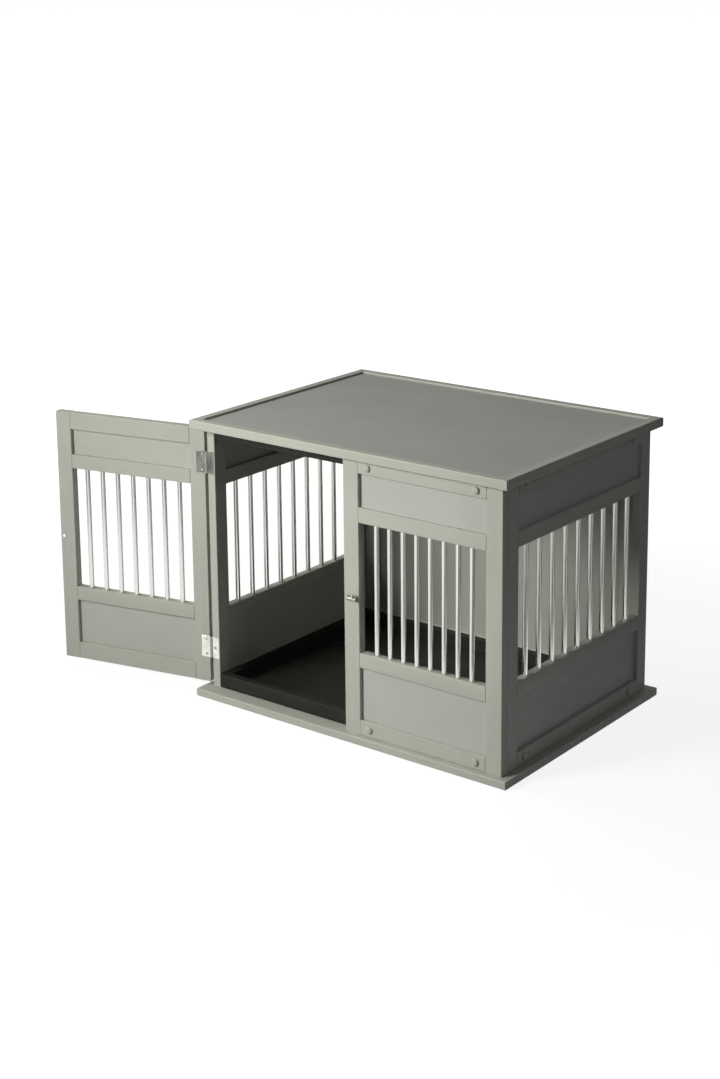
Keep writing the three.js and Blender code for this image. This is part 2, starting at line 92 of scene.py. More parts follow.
KNUCKLE_RADIUS = 3 * MM
HINGE_LEAF_THICKNESS = 1.6 * MM
HINGE_CORNER = 1.2 * MM
HINGE_EDGE_BEVEL = 0.25 * MM
KNUCKLE_RIM_CHAMFER = 0.3 * MM
HINGE_SCREW_FROM_PIN = 10.8 * MM
HINGE_SCREW_SPREAD = 16.3 * MM  # from the door leaf's middle up and down to its two screws
HINGE_SCREW_RADIUS = 3.3 * MM
SCREW_RIM = 0.14 * MM  # above the leaf; with the crown, less than the fit between two shut leaves
SCREW_CROWN = 0.10 * MM
SCREW_FOOT = 0.396 * MM  # how deep the head goes into the leaf
SCREW_CROSS_DEPTH = 0.20 * MM
# The cross of a screw head, as shares of its radius: half an arm's width and its reach, and the
# distances over which its edges and its ends fall away.
CROSS_HALF_WIDTH, CROSS_REACH = 0.16, 0.62
CROSS_EDGE, CROSS_END = 0.05, 0.08
PIN_HEAD_RADIUS = 2.1 * MM
PIN_HEAD_WALL = 0.2 * MM
PIN_HEAD_HEIGHT = 0.8 * MM

ROD_RADIUS = 2.6 * MM
ROD_CHAMFER = 1.2 * MM
ROD_END_DOME = 0.9 * MM
ROD_INSET = 0.5 * MM  # from both ends of the latch's plate
ROD_BEHIND = 4.4 * MM  # from the plate's back to the rod's axis
KNOB_RADIUS = 3.2 * MM
KNOB_FROM_PLATE_END = 7 * MM
KNOB_TILT = math.radians(50)  # turned up from level
STEM_RADIUS = 1.4 * MM
STEM_LENGTH = 8 * MM

KEEPER_SCREW_RADIUS = 3.9 * MM
KEEPER_SCREW_WALL = 0.3 * MM
KEEPER_SCREW_HEIGHT = 1.8 * MM
KEEPER_SCREW_FROM_HINGE_EDGE = 350.5 * MM

# How finely the round pieces are cut, and which of their edges stay sharp.
ROUND_STEPS = 32
BOLT_HEAD_STEPS = 40
SMALL_ROUND_STEPS = 28
PIN_HEAD_STEPS = 24
SCREW_RINGS, SCREW_STEPS = 14, 48
DOME_STEPS = 6
BALL_STEPS = 14
CORNER_STEPS = 4
LEAF_CORNER_POINTS = 4
SHARP_ABOVE = 35  # degrees between two faces, as the two below
SHARP_ABOVE_ON_DOMES = 50
BEVEL_ABOVE = 50
BEVEL_SEGMENTS = 2
MERGE_DISTANCE = 1e-4 * MM
NEAR_UPRIGHT = 0.9  # an axis whose z part is larger

# ------------------------------------------------------------------------ the swung door

door_joint = next(joint for joint in frame["joints"] if joint["name"] == "door_hinge")
PIN = np.array(door_joint["pos_m"])
OPEN_ANGLE = math.radians(door_joint["range_deg"][1])


def turned_about_pin(points, angle):
    """Points turned about the hinge pin: their offset from the pin is turned in the level plane."""
    c, s = math.cos(angle), math.sin(angle)
    offset = np.asarray(points, float) - PIN
    x = c * offset[..., 0] - s * offset[..., 1]
    y = s * offset[..., 0] + c * offset[..., 1]
    return np.stack([x, y, offset[..., 2]], axis=-1) + PIN


def swung_open(points):
    """Points given with the door shut, moved to where it stands open."""
    return turned_about_pin(points, -OPEN_ANGLE)


def in_place(points):
    """Points that stay as given, for pieces of the crate and of its latch."""
    return np.asarray(points, float)


PLACED = {"crate": in_place, "latch": in_place, "door": swung_open}


def upright_box(node):
    """Lowest and highest corner of a CAD node, taken with the door shut if it is on the door."""
    mesh = frame["nodes"][node].data
    points = np.empty(len(mesh.vertices) * 3, np.float32)
    mesh.vertices.foreach_get("co", points)
    points = points.reshape(-1, 3).astype(float)
    if frame["nodes"][node]["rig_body"] == "door":
        points = turned_about_pin(points, OPEN_ANGLE)
    return points.min(axis=0), points.max(axis=0)


# -------------------------------------------------------------------- surfaces in numpy


def ring_faces(rows, columns):
    """Quads of a grid whose last column is joined to its first, with corners (i, j), (i, j+1),
    (i+1, j+1) and (i+1, j)."""
    i, j = np.meshgrid(np.arange(rows - 1), np.arange(columns), indexing="ij")
    right = (j + 1) % columns
    corners = [i * columns + j, i * columns + right, (i + 1) * columns + right, (i + 1) * columns + j]
    return np.stack(corners, axis=-1).reshape(-1, 4)


def closed_skin(points):
    """Points and faces of a tube: ring i of the grid is its row i, each ring is joined to the next,
    and its first and last ring are closed with a flat face."""
    rows, columns = points.shape[:2]
    faces = ring_faces(rows, columns).tolist()
    faces.append(list(range(columns - 1, -1, -1)))
    faces.append(list(range((rows - 1) * columns, rows * columns)))
    return points.reshape(-1, 3), faces


def perpendicular(axis):
    """Two unit directions square to an axis and to each other, right-handed with it: helper x axis,
    and axis x the first. The helper is +Z, or +X where the axis itself is near upright."""
    axis = np.asarray(axis, float)
    helper = np.array([0.0, 0.0, 1.0]) if abs(axis[2]) < NEAR_UPRIGHT else np.array([1.0, 0.0, 0.0])
    across = np.cross(helper, axis)
    across /= np.linalg.norm(across)
    return across, np.cross(axis, across)


def revolved(profile, centre, axis, steps=ROUND_STEPS):
    """A turned shape: each (radius r, height h) of the profile goes round the axis through
    centre + h * axis + r * (cos t * across + sin t * up), for t from nothing to a full turn."""
    axis = np.asarray(axis, float)
    across, up = perpendicular(axis)
    radius, height = np.asarray(profile, float).T
    turn = np.linspace(0, 2 * math.pi, steps, endpoint=False)
    ring = np.cos(turn)[:, None] * across + np.sin(turn)[:, None] * up
    points = np.asarray(centre, float) + height[:, None, None] * axis + radius[:, None, None] * ring
    return closed_skin(points)


def rounded_outline(half_width, half_height, radius):
    """A rectangle round the origin whose corners are quarter circles: each corner's centre plus
    radius * (cos t, sin t)."""
    quarter = np.linspace(0, math.pi / 2, CORNER_STEPS + 1)
    turn = np.concatenate([quarter + k * math.pi / 2 for k in range(4)])
    sign_x = np.repeat([1, -1, -1, 1], CORNER_STEPS + 1)
    sign_y = np.repeat([1, 1, -1, -1], CORNER_STEPS + 1)
    x = sign_x * (half_width - radius) + radius * np.cos(turn)
    y = sign_y * (half_height - radius) + radius * np.sin(turn)
    return np.stack([x, y], axis=-1)


def prism(outline, origin, across, up, run):
    """An outline carried straight: each of its points (u, v) becomes origin + u * across + v * up,
    and the same again at the end of the run."""
    u, v = np.asarray(outline, float).T
    across, up, run = (np.asarray(d, float) for d in (across, up, run))
    ring = np.asarray(origin, float) + u[:, None] * across + v[:, None] * up
    return closed_skin(np.stack([ring, ring + run]))


def dome_profile(radius, wall, height):
    """Half the section of a round head: out along its foot, up its wall, then over a quarter ellipse
    (radius * cos t, wall + (height - wall) * sin t) to the middle."""
    t = np.linspace(0, math.pi / 2, DOME_STEPS + 1)
    dome = np.stack([radius * np.cos(t), wall + (height - wall) * np.sin(t)], axis=-1)
    return np.concatenate([[[0, 0], [radius, 0]], dome])


# --------------------------------------------------------------------------- the pieces


def make_piece(name, skins, finish, body, stands_for=(), sharp_above=SHARP_ABOVE, bevel=0.0):
    """One mesh from closed skins that are given with the door shut: moved with its body's swing,
    merged, faced outwards and finished. It takes the place of the CAD nodes that it stands for."""
    counts = np.cumsum([0] + [len(points) for points, _ in skins])
    points = PLACED[body](np.concatenate([points for points, _ in skins]))
    faces = [[corner + start for corner in face] for start, (_, skin) in zip(counts, skins) for face in skin]
    mesh = bpy.data.meshes.new(name)
    mesh.from_pydata(points.tolist(), [], faces)
    work = bmesh.new()
    work.from_mesh(mesh)
    bmesh.ops.remove_doubles(work, verts=work.verts, dist=MERGE_DISTANCE)
    bmesh.ops.recalc_face_normals(work, faces=work.faces)
    work.to_mesh(mesh)
    work.free()
    mesh.shade_smooth()
    mesh.set_sharp_from_angle(angle=math.radians(sharp_above))
    mesh.materials.append(finish)
    piece = bpy.data.objects.new(name, mesh)
    bpy.context.scene.collection.objects.link(piece)
    if bevel:
        soft_edge = piece.modifiers.new("eased edges", "BEVEL")
        soft_edge.width = bevel
        soft_edge.segments = BEVEL_SEGMENTS
        soft_edge.limit_method = "ANGLE"
        soft_edge.angle_limit = math.radians(BEVEL_ABOVE)
    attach(piece, body)
    if stands_for:
        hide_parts(*stands_for)


# ------------------------------------------------------------------------------ finishes

# Each finish lies between a shade and a light tone.
PAINT_SHADE, PAINT_LIGHT = (0.420, 0.425, 0.375), (0.485, 0.490, 0.440)
PANEL_TONES = {  # shade and light of the panels, by the body that they are on
    "crate": ((0.445, 0.447, 0.422), (0.485, 0.487, 0.464)),
    "door": ((0.430, 0.434, 0.392), (0.490, 0.494, 0.450)),
}
# The back board's tones are darker than the other panels' as painted shade, for the inside of the cabin
# where less light reaches.
BACK_SHADE, BACK_LIGHT = (0.345, 0.348, 0.312), (0.400, 0.403, 0.365)
# The table top's tones are darker than the other panels' as painted shade, for how little of the lamps'
# light its level face takes.
TOP_SHADE, TOP_LIGHT = (0.375, 0.378, 0.360), (0.415, 0.418, 0.400)
STAIN_SHADE, STAIN_LIGHT = (0.018, 0.018, 0.016), (0.034, 0.034, 0.030)
STEEL_SHADE, STEEL_LIGHT = (0.82, 0.82, 0.78), (0.88, 0.88, 0.84)
# The darker steel tones are painted shade: they stand in for the dim reflections of the bolt's knob and rod
# and of the hinge screws.
SHADED_STEEL_DARK_TONE, SHADED_STEEL_LIGHT_TONE = (0.34, 0.34, 0.32), (0.42, 0.42, 0.39)
NICKEL_SHADE, NICKEL_LIGHT = (0.76, 0.76, 0.67), (0.92, 0.92, 0.84)
# The dull nickel's dark tones are painted shade: they stand in for the dim reflections of the knuckles, the
# pin's ends and the latch.
SHADED_NICKEL_DARK_TONE, SHADED_NICKEL_LIGHT_TONE = (0.34, 0.34, 0.31), (0.42, 0.42, 0.38)

# The noises that the finishes are made of: repeats a metre, octaves of detail, roughness and
# distortion. The grain's repeats are given across it and along it, the others on x, y and z.
GRAIN_LINES = ((520, 9), 5.0, 0.62, 0.1)
GRAIN_BANDS = ((110, 4), 3.0, 0.50, 0.2)
COAT_CLOUDS = ((9, 9, 9), 2.0, 0.50, 0.0)
ORANGE_PEEL = ((1500, 1500, 1500), 1.0, 0.50, 0.0)
DRAW_LINES = ((1600, 1600, 12), 3.0, 0.60, 0.0)
STEEL_CLOUDS = ((20, 20, 26), 2.0, 0.50, 0.0)
BRUSH_LINES = ((900, 900, 40), 2.0, 0.60, 0.0)
NICKEL_CLOUDS = ((70, 70, 60), 2.0, 0.50, 0.0)
NOISE_MEAN = 0.5
NOISE_SPAN = (0.3, 0.7)  # where nearly all of a noise lies

# A coat of paint or stain.
BANDS_TO_LINES = 0.7  # how much the bands weigh in the streaks, against the lines
STREAKS_TO_CLOUDS = 1.2  # how much the streaks weigh in the tone of a solid board
CLOUD_HALF_SPAN, STREAK_HALF_SPAN = 0.25, 0.35  # half of the noise that the two tones are spread over
COAT_ROUGHNESS = (0.44, 0.60)
PAINT_SPECULAR, STAIN_SPECULAR = 0.16, 0.12
LINES_TO_PEEL = 3.0
PEEL_STRENGTH, LINE_STRENGTH = 0.12, 0.08
COAT_RELIEF = 0.1 * MM
SHEET_GRAIN, TOP_GRAIN = 0.25, 0.1  # shares of a solid board's grain

# Metal.
STEEL_CLOUDS_TO_LINES = 0.6
STEEL_SHINE_SPAN = (0.5, 1.1)
STEEL_ROUGHNESS = (0.12, 0.24)
STEEL_STRENGTH = 0.06
NICKEL_CLOUDS_TO_BRUSH = 0.5
NICKEL_SHINE_SPAN = (0.5, 1.0)
NICKEL_STRENGTH = 0.04
METAL_RELIEF = 0.05 * MM
SATIN_ROUGHNESS = (0.15, 0.23)
DULL_ROUGHNESS = (0.34, 0.46)
ROD_ROUGHNESS = (0.42, 0.54)
MATT_ROUGHNESS = (0.56, 0.68)


def new_finish(name):
    """An empty node material: the material, a maker of its nodes, a maker of its links, and its shader."""
    material = bpy.data.materials.new(name)
    material.use_nodes = True
    tree = material.node_tree
    shader = tree.nodes["Principled BSDF"]

    def node(kind, **settings):
        made = tree.nodes.new(kind)
        for setting, value in settings.items():
            if setting in made.inputs:
                made.inputs[setting].default_value = value
            else:
                setattr(made, setting, value)
        return made

    return material, node, tree.links.new, shader


def noise(node, link, pattern, turn=0.0):
    """A noise from 0 to 1 on Object coordinates, turned level and stretched to a pattern's repeats."""
    repeats, detail, roughness, distortion = pattern
    place = node("ShaderNodeTexCoord")
    stretch = node("ShaderNodeMapping")
    stretch.inputs["Rotation"].default_value = (0, 0, turn)
    stretch.inputs["Scale"].default_value = repeats
    link(place.outputs["Object"], stretch.inputs["Vector"])
    made = node("ShaderNodeTexNoise", Scale=1.0, Detail=detail, Roughness=roughness, Distortion=distortion)
    link(stretch.outputs["Vector"], made.inputs["Vector"])
    return made.outputs["Fac"]


def grain_noise(node, link, pattern, along, turn):
    """A noise with few repeats along the grain's axis and many across it."""
    (across_repeats, along_repeats), *character = pattern
    repeats = tuple(along_repeats if axis == along else across_repeats for axis in "xyz")
    return noise(node, link, (repeats, *character), turn)


def remap(node, link, value, span, to_span):
    """A value carried evenly from one span to another, and held at its ends."""
    made = node("ShaderNodeMapRange")
    for socket, number in zip(("From Min", "From Max", "To Min", "To Max"), (*span, *to_span)):
        made.inputs[socket].default_value = number
    link(value, made.inputs["Value"])
    return made.outputs["Result"]


def two_tones(node, link, value, dark, light):
    """A colour between two tones: dark + value * (light - dark)."""
    mixed = node("ShaderNodeMix", data_type="RGBA")
    colours = [socket for socket in mixed.inputs if socket.type == "RGBA"]
    colours[0].default_value = (*dark, 1)
    colours[1].default_value = (*light, 1)
    link(value, mixed.inputs["Factor"])
    return next(socket for socket in mixed.outputs if socket.type == "RGBA")


def add_values(node, link, first, second, weight):
    """first + weight * second."""
    made = node("ShaderNodeMath", operation="MULTIPLY_ADD")
    link(second, made.inputs[0])
    made.inputs[1].default_value = weight
    link(first, made.inputs[2])
    return made.outputs["Value"]


def bumped(node, link, shader, height, strength, distance):
    """The shader's normal tilted by the slope of a height."""
    bump = node("ShaderNodeBump", Strength=strength, Distance=distance)
    link(height, bump.inputs["Height"])
    link(bump.outputs["Normal"], shader.inputs["Normal"])


def coat(name, along, dark, light, turn=0.0, specular=PAINT_SPECULAR, grain=1.0):
    """A brushed coat over wood: fine lines along the grain, broad cloudy tones, and a slight orange-peel
    relief. The lines and their relief grow with the share of grain, from 0 on a smooth sheet to 1 on a
    solid board. The tone is clouds + share * streaks, and streaks are lines + bands, each by its weight."""
    material, node, link, shader = new_finish(name)
    lines = grain_noise(node, link, GRAIN_LINES, along, turn)
    bands = grain_noise(node, link, GRAIN_BANDS, along, turn)
    clouds = noise(node, link, COAT_CLOUDS, turn)
    peel = noise(node, link, ORANGE_PEEL, turn)
    streaks = add_values(node, link, lines, bands, BANDS_TO_LINES)
    streak_share = STREAKS_TO_CLOUDS * grain
    tone = add_values(node, link, clouds, streaks, streak_share)
    middle = NOISE_MEAN + streak_share * NOISE_MEAN * (1 + BANDS_TO_LINES)
    half = CLOUD_HALF_SPAN + STREAK_HALF_SPAN * grain
    tone = remap(node, link, tone, (middle - half, middle + half), (0.0, 1.0))
    link(two_tones(node, link, tone, dark, light), shader.inputs["Base Color"])
    link(remap(node, link, bands, NOISE_SPAN, COAT_ROUGHNESS), shader.inputs["Roughness"])
    shader.inputs["Specular IOR Level"].default_value = specular
    relief = add_values(node, link, peel, lines, LINES_TO_PEEL * grain)
    bumped(node, link, shader, relief, PEEL_STRENGTH + LINE_STRENGTH * grain, COAT_RELIEF)
    return material


def polished_metal(name, dark, light):
    """Polished steel with faint upright draw lines and a slightly uneven shine."""
    material, node, link, shader = new_finish(name)
    lines = noise(node, link, DRAW_LINES)
    clouds = noise(node, link, STEEL_CLOUDS)
    link(two_tones(node, link, clouds, dark, light), shader.inputs["Base Color"])
    shine = add_values(node, link, lines, clouds, STEEL_CLOUDS_TO_LINES)
    link(remap(node, link, shine, STEEL_SHINE_SPAN, STEEL_ROUGHNESS), shader.inputs["Roughness"])
    shader.inputs["Metallic"].default_value = 1.0
    bumped(node, link, shader, lines, STEEL_STRENGTH, METAL_RELIEF)
    return material


def brushed_metal(name, dark, light, roughness):
    """Nickel plate or rough steel: a cloudy tone, fine upright brush lines, and the roughness given."""
    material, node, link, shader = new_finish(name)
    brush = noise(node, link, BRUSH_LINES)
    clouds = noise(node, link, NICKEL_CLOUDS)
    tone = remap(node, link, clouds, NOISE_SPAN, (0.0, 1.0))
    link(two_tones(node, link, tone, dark, light), shader.inputs["Base Color"])
    shine = add_values(node, link, brush, clouds, NICKEL_CLOUDS_TO_BRUSH)
    link(remap(node, link, shine, NICKEL_SHINE_SPAN, roughness), shader.inputs["Roughness"])
    shader.inputs["Metallic"].default_value = 1.0
    bumped(node, link, shader, brush, NICKEL_STRENGTH, METAL_RELIEF)
    return material


def longest_axis(node):
    """The axis along which a CAD node is longest."""
    low, high = upright_box(node)
    return "xyz"[int(np.argmax(high - low))]


BODY_TURNS = (("crate", 0.0), ("door", OPEN_ANGLE))  # the grain turns with the open door
PAINT = {
    (body, along): coat(f"grey paint on {body}, grain along {along}", along, PAINT_SHADE, PAINT_LIGHT, turn)
    for body, turn in BODY_TURNS
    for along in "xyz"
}
SMOOTH_PAINT = {
    (body, along): coat(f"smooth grey paint on {body}, grain along {along}", along, *PANEL_TONES[body],
                        turn, grain=SHEET_GRAIN)
    for body, turn in BODY_TURNS
    for along in "xyz"
}
# The table top's paint is darkened as painted shade.
TOP_PAINT_AND_SHADE = coat("smooth grey paint of the table top", "x", TOP_SHADE, TOP_LIGHT, grain=TOP_GRAIN)
# The back board's paint is darkened as painted shade.
BACK_PAINT_AND_SHADE = coat("smooth grey paint of the back board", "x", BACK_SHADE, BACK_LIGHT, grain=SHEET_GRAIN)
STAIN = {
    along: coat(f"dark stain, grain along {along}", along, STAIN_SHADE, STAIN_LIGHT, specular=STAIN_SPECULAR)
    for along in "xy"
}
POLISHED_STEEL = polished_metal("polished steel", STEEL_SHADE, STEEL_LIGHT)
# The darker steels are painted shade, for the dim reflections of the knob, the rod and the screws.
SHADED_STEEL = polished_metal("darker steel of the bolt's knob and the screws",
                            SHADED_STEEL_DARK_TONE, SHADED_STEEL_LIGHT_TONE)
SHADED_ROUGH_STEEL = brushed_metal("rough steel of the bolt's rod, darkened as painted shade",
                           SHADED_STEEL_DARK_TONE, SHADED_STEEL_LIGHT_TONE, ROD_ROUGHNESS)
SATIN_NICKEL = brushed_metal("satin nickel", NICKEL_SHADE, NICKEL_LIGHT, SATIN_ROUGHNESS)
# The dull and matt nickels are painted shade, for the dim reflections of the knuckles, the pin's ends and
# the latch.
SHADED_NICKEL = brushed_metal("dull nickel of the knuckles, darkened as painted shade",
                            SHADED_NICKEL_DARK_TONE, SHADED_NICKEL_LIGHT_TONE, DULL_ROUGHNESS)
SHADED_MATT_NICKEL = brushed_metal("matt nickel of the latch, darkened as painted shade",
                            SHADED_NICKEL_DARK_TONE, SHADED_NICKEL_LIGHT_TONE, MATT_ROUGHNESS)


def finish_of(name, slot):
    """The finish of a CAD node: its slot's, smooth on a panel, with the grain along its longest side."""
    # Steel nodes get the darker steel, painted shade.
    if slot == "polished_steel":
        return SHADED_STEEL
    # The latch's nickel is darkened as painted shade.
    if slot == "nickel":
        return SHADED_MATT_NICKEL if name.startswith("latch") else SATIN_NICKEL
    along = longest_axis(name)
    if slot == "dark_wood":
        return STAIN[along]
    # The table top gets its paint darkened as painted shade.
    if name == "table_top_panel":
        return TOP_PAINT_AND_SHADE
    # The back board gets its paint darkened as painted shade.
    if name == "back_panel":
        return BACK_PAINT_AND_SHADE
    painted = SMOOTH_PAINT if name.endswith("_panel") else PAINT
    return painted[frame["nodes"][name]["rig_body"], along]


def finish_cad_nodes():
    """Every CAD node gets its finish."""
    slots = {row["node"]: row["material_slot"] for row in frame["record"]["subparts"]}
    for name, node in frame["nodes"].items():
        node.data.materials.clear()
        node.data.materials.append(finish_of(name, slots[name]))


# ---------------------------------------------------------------------- bars and rails


def standing_bar(x, y, low, high):
    """A round bar between two heights: a profile of radius by height, chamfered at its ends, turned
    about an upright axis."""
    c = BAR_END_CHAMFER
    profile = [(0, 0), (BAR_RADIUS - c, 0), (BAR_RADIUS, c), (BAR_RADIUS, high - low - c),
               (BAR_RADIUS - c, high - low), (0, high - low)]
    return revolved(profile, (x, y, low), (0, 0, 1))


def barred_rail(label, node, count, pitch):
    """The bars of one panel, and the wooden rail that they stand in, in place of the CAD node that
    holds both. Bar i stands at middle + (i - (count - 1) / 2) * pitch."""
    low, high = upright_box(node)
    body = frame["nodes"][node]["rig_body"]
    along = 0 if high[0] - low[0] > high[1] - low[1] else 1
    middle = (low + high) / 2
    rail_top = low[2] + BAR_RAIL_HEIGHT
    places = middle[along] + (np.arange(count) - (count - 1) / 2) * pitch
    bars = []
    for place in places:
        foot = middle.copy()
        foot[along] = place
        bars.append(standing_bar(foot[0], foot[1], rail_top - BAR_SEAT, high[2]))
    make_piece(f"{label}_bars", bars, POLISHED_STEEL, body, [node])

    across = 1 - along
    run = np.zeros(3)
    run[along] = high[along] - low[along] - 2 * (TENON_LENGTH + FIT)
    start = np.array([middle[0], middle[1], low[2] + BAR_RAIL_HEIGHT / 2])
    start[along] = low[along] + TENON_LENGTH + FIT
    outline = rounded_outline((high[across] - low[across]) / 2, BAR_RAIL_HEIGHT / 2, BOARD_EDGE_ROUND)
    sideways = np.zeros(3)
    sideways[across] = 1
    rail = prism(outline, start, sideways, (0, 0, 1), run)
    make_piece(f"{label}_bar_rail", [rail], PAINT[body, "xyz"[along]], body, [node])


# -------------------------------------------------------------------------- bolt heads


def bolt_heads(label, points, outward):
    """Painted round heads, each a wall and a low dome, sunk a hair into the board they hold."""
    profile = dome_profile(BOLT_HEAD_RADIUS, BOLT_HEAD_WALL, BOLT_HEAD_HEIGHT)
    sunk = -FIT * np.asarray(outward, float)
    heads = [revolved(profile, np.asarray(point) + sunk, outward, BOLT_HEAD_STEPS) for point in points]
    make_piece(f"{label}_bolt_heads", heads, PAINT["crate", "z"], "crate",
               sharp_above=SHARP_ABOVE_ON_DOMES)


def panel_bolts(label, first_stile, last_stile, insets, axis, outward):
    """The four bolts of a panel: near both ends of its top rail and of its bottom rail."""
    low = np.minimum(upright_box(first_stile)[0], upright_box(last_stile)[0])
    high = np.maximum(upright_box(first_stile)[1], upright_box(last_stile)[1])
    rails = [upright_box(f"{label}_{rail}") for rail in ("bottom_rail", "top_rail")]
    face = high if sum(outward) > 0 else low
    points = []
    for rail_low, rail_high in rails:
        for place in (low[axis] + insets[0], high[axis] - insets[1]):
            point = face.copy()
            point[axis] = place
            point[2] = (rail_low[2] + rail_high[2]) / 2
            points.append(point)
    bolt_heads(label, points, outward)


# ------------------------------------------------------------------------------ hinges


def leaf_outline(reach, knuckle_gap, z0, z1, tongues):
    """A hinge leaf's outline in the plane (x from the pin, z): a plate with rounded far corners, and one
    tongue to the pin for each of its knuckles, from the foot of the leaf to its top."""
    t = np.linspace(0, math.pi / 2, LEAF_CORNER_POINTS)
    r = HINGE_CORNER
    low_corner = np.stack([reach - r + r * np.sin(t), z0 + r - r * np.cos(t)], axis=-1)
    high_corner = np.stack([reach - r + r * np.cos(t), z1 - r + r * np.sin(t)], axis=-1)
    inner = []
    for top, bottom in reversed(tongues):
        inner += [(knuckle_gap, top), (0, top), (0, bottom), (knuckle_gap, bottom)]
    # A tongue level with the leaf's end has no inner corner there. An end without a tongue gets its own.
    kept = [p for p in inner if not (p[0] == knuckle_gap and p[1] in (z0, z1))]
    if (0, z1) not in kept:
        kept.insert(0, (knuckle_gap, z1))
    if (0, z0) not in kept:
        kept.append((knuckle_gap, z0))
    return np.concatenate([low_corner, high_corner, kept])


def knuckle_barrel(z0, z1):
    """One rolled knuckle: a profile of radius by height with chamfered rims, turned about the pin."""
    c = KNUCKLE_RIM_CHAMFER
    r = KNUCKLE_RADIUS
    profile = [(0, 0), (r - c, 0), (r, c), (r, z1 - z0 - c), (r - c, z1 - z0), (0, z1 - z0)]
    return revolved(profile, (PIN[0], PIN[1], z0), (0, 0, 1))


def cross_screw(centre, outward):
    """A screw head as a height over a disc: crown * (1 - share^2) + rim - depth * trough, where share is
    the distance from the middle and trough is 1 in the two arms of the cross and falls to 0 at their
    edges and ends. Its last ring is its flat underside, in the leaf."""
    outward = np.asarray(outward, float)
    across, up = perpendicular(outward)
    share = np.linspace(0, 1, SCREW_RINGS)[:, None]
    turn = np.linspace(0, 2 * math.pi, SCREW_STEPS, endpoint=False)[None, :]
    x, y = share * np.cos(turn), share * np.sin(turn)
    off_arm = np.minimum(np.abs(x), np.abs(y))
    along_arm = np.maximum(np.abs(x), np.abs(y))
    trough = np.clip((CROSS_HALF_WIDTH - off_arm) / CROSS_EDGE, 0, 1)
    trough = trough * np.clip((CROSS_REACH - along_arm) / CROSS_END, 0, 1)
    height = SCREW_CROWN * (1 - share**2) + SCREW_RIM - SCREW_CROSS_DEPTH * trough
    disc = np.asarray(centre, float) + HINGE_SCREW_RADIUS * (x[..., None] * across + y[..., None] * up)
    top = disc + height[..., None] * outward
    foot = disc[-1:] - SCREW_FOOT * outward
    return closed_skin(np.concatenate([top, foot]))


def hinge(place):
    """A butt hinge in place of its two CAD leaves: plates with tongues, three knuckles, the pin's ends,
    and two screws in the door's leaf and one in the post's."""
    door_node, post_node = f"{place}_hinge_door_leaf", f"{place}_hinge_post_leaf"
    door_reach = upright_box(door_node)[1][0] - PIN[0]
    post_low, post_high = upright_box(post_node)
    z0, z1 = post_low[2], post_high[2]
    third = (z1 - z0) / 3
    gap = KNUCKLE_RADIUS + FIT
    middle = (z0 + z1) / 2
    door_tongue = (z1 - third - FIT, z0 + third + FIT)
    post_tongues = [(z0 + third, z0), (z1, z1 - third)]

    def leaf(reach, side, tongues):
        outline = leaf_outline(reach, gap, z0, z1, tongues)
        face = PIN[1] + side * FIT / 2
        return prism(outline, (PIN[0], face, 0), (1, 0, 0), (0, 0, 1), (0, side * HINGE_LEAF_THICKNESS, 0))

    def screws(side, heights):
        x = PIN[0] + HINGE_SCREW_FROM_PIN
        y = PIN[1] + side * FIT / 2
        return [cross_screw((x, y, z), (0, -side, 0)) for z in heights]

    pin_head = dome_profile(PIN_HEAD_RADIUS, PIN_HEAD_WALL, PIN_HEAD_HEIGHT)
    pin_top = revolved(pin_head, (PIN[0], PIN[1], z1), (0, 0, 1), PIN_HEAD_STEPS)
    pin_foot = revolved(pin_head, (PIN[0], PIN[1], z0), (0, 0, -1), PIN_HEAD_STEPS)
    door_leaf = leaf(door_reach, -1, [door_tongue])
    post_leaf = leaf(post_high[0] - PIN[0], 1, post_tongues)
    door_knuckle = knuckle_barrel(door_tongue[1], door_tongue[0])
    post_knuckles = [knuckle_barrel(bottom, top) for top, bottom in post_tongues]
    door_screws = screws(-1, (middle - HINGE_SCREW_SPREAD, middle + HINGE_SCREW_SPREAD))
    post_screws = screws(1, (middle,))
    make_piece(f"{place}_hinge_leaf_on_door", [door_leaf], SATIN_NICKEL, "door", [door_node],
               bevel=HINGE_EDGE_BEVEL)
    make_piece(f"{place}_hinge_leaf_on_post", [post_leaf], SATIN_NICKEL, "crate", [post_node],
               bevel=HINGE_EDGE_BEVEL)
    # The knuckles and the pin's ends get the darkened nickel, painted shade.
    make_piece(f"{place}_hinge_knuckle_on_door", [door_knuckle], SHADED_NICKEL, "door", [door_node])
    make_piece(f"{place}_hinge_knuckles_on_post", post_knuckles, SHADED_NICKEL, "crate", [post_node])
    make_piece(f"{place}_hinge_pin_ends", [pin_top, pin_foot], SHADED_NICKEL, "crate")
    # The screws get the darker steel, painted shade for their dim reflections.
    make_piece(f"{place}_hinge_screws_on_door", door_screws, SHADED_STEEL, "door")
    make_piece(f"{place}_hinge_screws_on_post", post_screws, SHADED_STEEL, "crate")


# --------------------------------------------------------------------------- slide bolt


